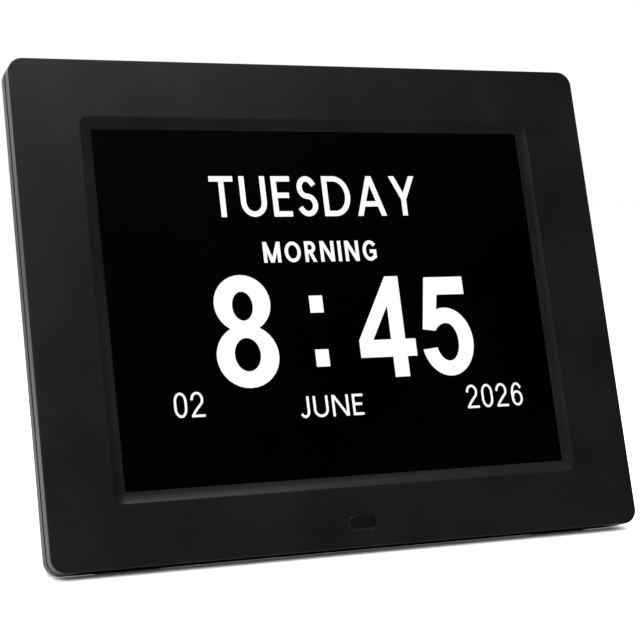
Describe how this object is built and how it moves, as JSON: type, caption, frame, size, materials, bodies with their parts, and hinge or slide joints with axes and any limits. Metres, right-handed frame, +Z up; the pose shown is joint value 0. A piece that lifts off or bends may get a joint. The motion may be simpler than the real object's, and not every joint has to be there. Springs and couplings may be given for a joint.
{
  "type": "digital day clock",
  "caption": "Free-standing digital day clock: a flat lit display in a black two-part plastic case that leans back on a folding rear leg.",
  "frame": {"origin": "on the table, at the centre of the whole clock's footprint with its leg open", "axes": "+X to the viewer's right along the case, +Y to the back, +Z up"},
  "size_m": [0.215, 0.0892, 0.1664],
  "materials": {
    "case_plastic": "fine satin texture",
    "smoked_window": "polished smoked plastic",
    "black_foam": "closed-cell foam",
    "display_glass": "polished black, unlit panel",
    "light_guide": "white diffuser",
    "plated_steel": "nickel-plated sheet",
    "screw_steel": "zinc plated",
    "flat_cable": "polyimide film",
    "black_rubber": "soft moulded",
    "circuit_board": "solder mask",
    "chip_epoxy": "moulded epoxy",
    "can_aluminium": "drawn can",
    "header_nylon": "moulded nylon",
    "socket_plastic": "moulded",
    "button_plastic": "satin",
    "cone_paper": "pressed paper",
    "wire_sleeve": "soft sleeve"
  },
  "bodies": {
    "case": {"front_bezel": "case_plastic", "ir_window": "smoked_window", "display_gasket": "black_foam", "lcd_glass": "display_glass", "lcd_backlight": "light_guide", "lcd_frame": "plated_steel", "lcd_clips": "plated_steel", "lcd_clip_screws": "screw_steel", "lcd_ribbon": "flat_cable", "rear_cover": "case_plastic", "case_screws": "screw_steel", "case_feet": "black_rubber", "main_board": "circuit_board", "board_screws": "screw_steel", "processor_chip": "chip_epoxy", "memory_chips": "chip_epoxy", "board_capacitors": "can_aluminium", "board_coils": "chip_epoxy", "cable_headers": "header_nylon", "ribbon_socket": "header_nylon", "power_socket": "socket_plastic", "usb_socket": "plated_steel", "card_slot": "plated_steel", "coin_cell_holder": "socket_plastic", "coin_cell": "plated_steel", "key_board": "circuit_board", "key_board_screws": "screw_steel", "key_switches": "chip_epoxy", "key_cable": "flat_cable", "speaker_basket": "plated_steel", "speaker_cone": "cone_paper", "speaker_magnet": "plated_steel", "speaker_screws": "screw_steel", "speaker_wires": "wire_sleeve", "ir_board": "circuit_board", "ir_receiver": "chip_epoxy", "ir_wires": "wire_sleeve", "stand_hinge_pin": "screw_steel"},
    "leg": {"stand_leg": "case_plastic", "stand_foot_pad": "black_rubber"},
    "power_key": {"power_button": "button_plastic", "power_plunger": "header_nylon"},
    "menu_key": {"menu_button": "button_plastic", "menu_plunger": "header_nylon"},
    "up_key": {"up_button": "button_plastic", "up_plunger": "header_nylon"},
    "down_key": {"down_button": "button_plastic", "down_plunger": "header_nylon"},
    "left_key": {"left_button": "button_plastic", "left_plunger": "header_nylon"},
    "right_key": {"right_button": "button_plastic", "right_plunger": "header_nylon"}
  },
  "joints": [
    {"name": "leg_fold", "type": "hinge", "parent": "case", "child": "leg", "pos_m": [0, 0.00942, 0.09897], "axis": [-1, 0, 0], "range_deg": [0, 36]},
    {"name": "power_press", "type": "slide", "parent": "case", "child": "power_key", "axis": [0, -0.9537, 0.3007], "range_m": [0, 0.0005], "stiffness_N_per_m": 1800},
    {"name": "menu_press", "type": "slide", "parent": "case", "child": "menu_key", "axis": [0, -0.9537, 0.3007], "range_m": [0, 0.0005], "stiffness_N_per_m": 1800},
    {"name": "up_press", "type": "slide", "parent": "case", "child": "up_key", "axis": [0, -0.9537, 0.3007], "range_m": [0, 0.0005], "stiffness_N_per_m": 1800},
    {"name": "down_press", "type": "slide", "parent": "case", "child": "down_key", "axis": [0, -0.9537, 0.3007], "range_m": [0, 0.0005], "stiffness_N_per_m": 1800},
    {"name": "left_press", "type": "slide", "parent": "case", "child": "left_key", "axis": [0, -0.9537, 0.3007], "range_m": [0, 0.0005], "stiffness_N_per_m": 1800},
    {"name": "right_press", "type": "slide", "parent": "case", "child": "right_key", "axis": [0, -0.9537, 0.3007], "range_m": [0, 0.0005], "stiffness_N_per_m": 1800}
  ]
}
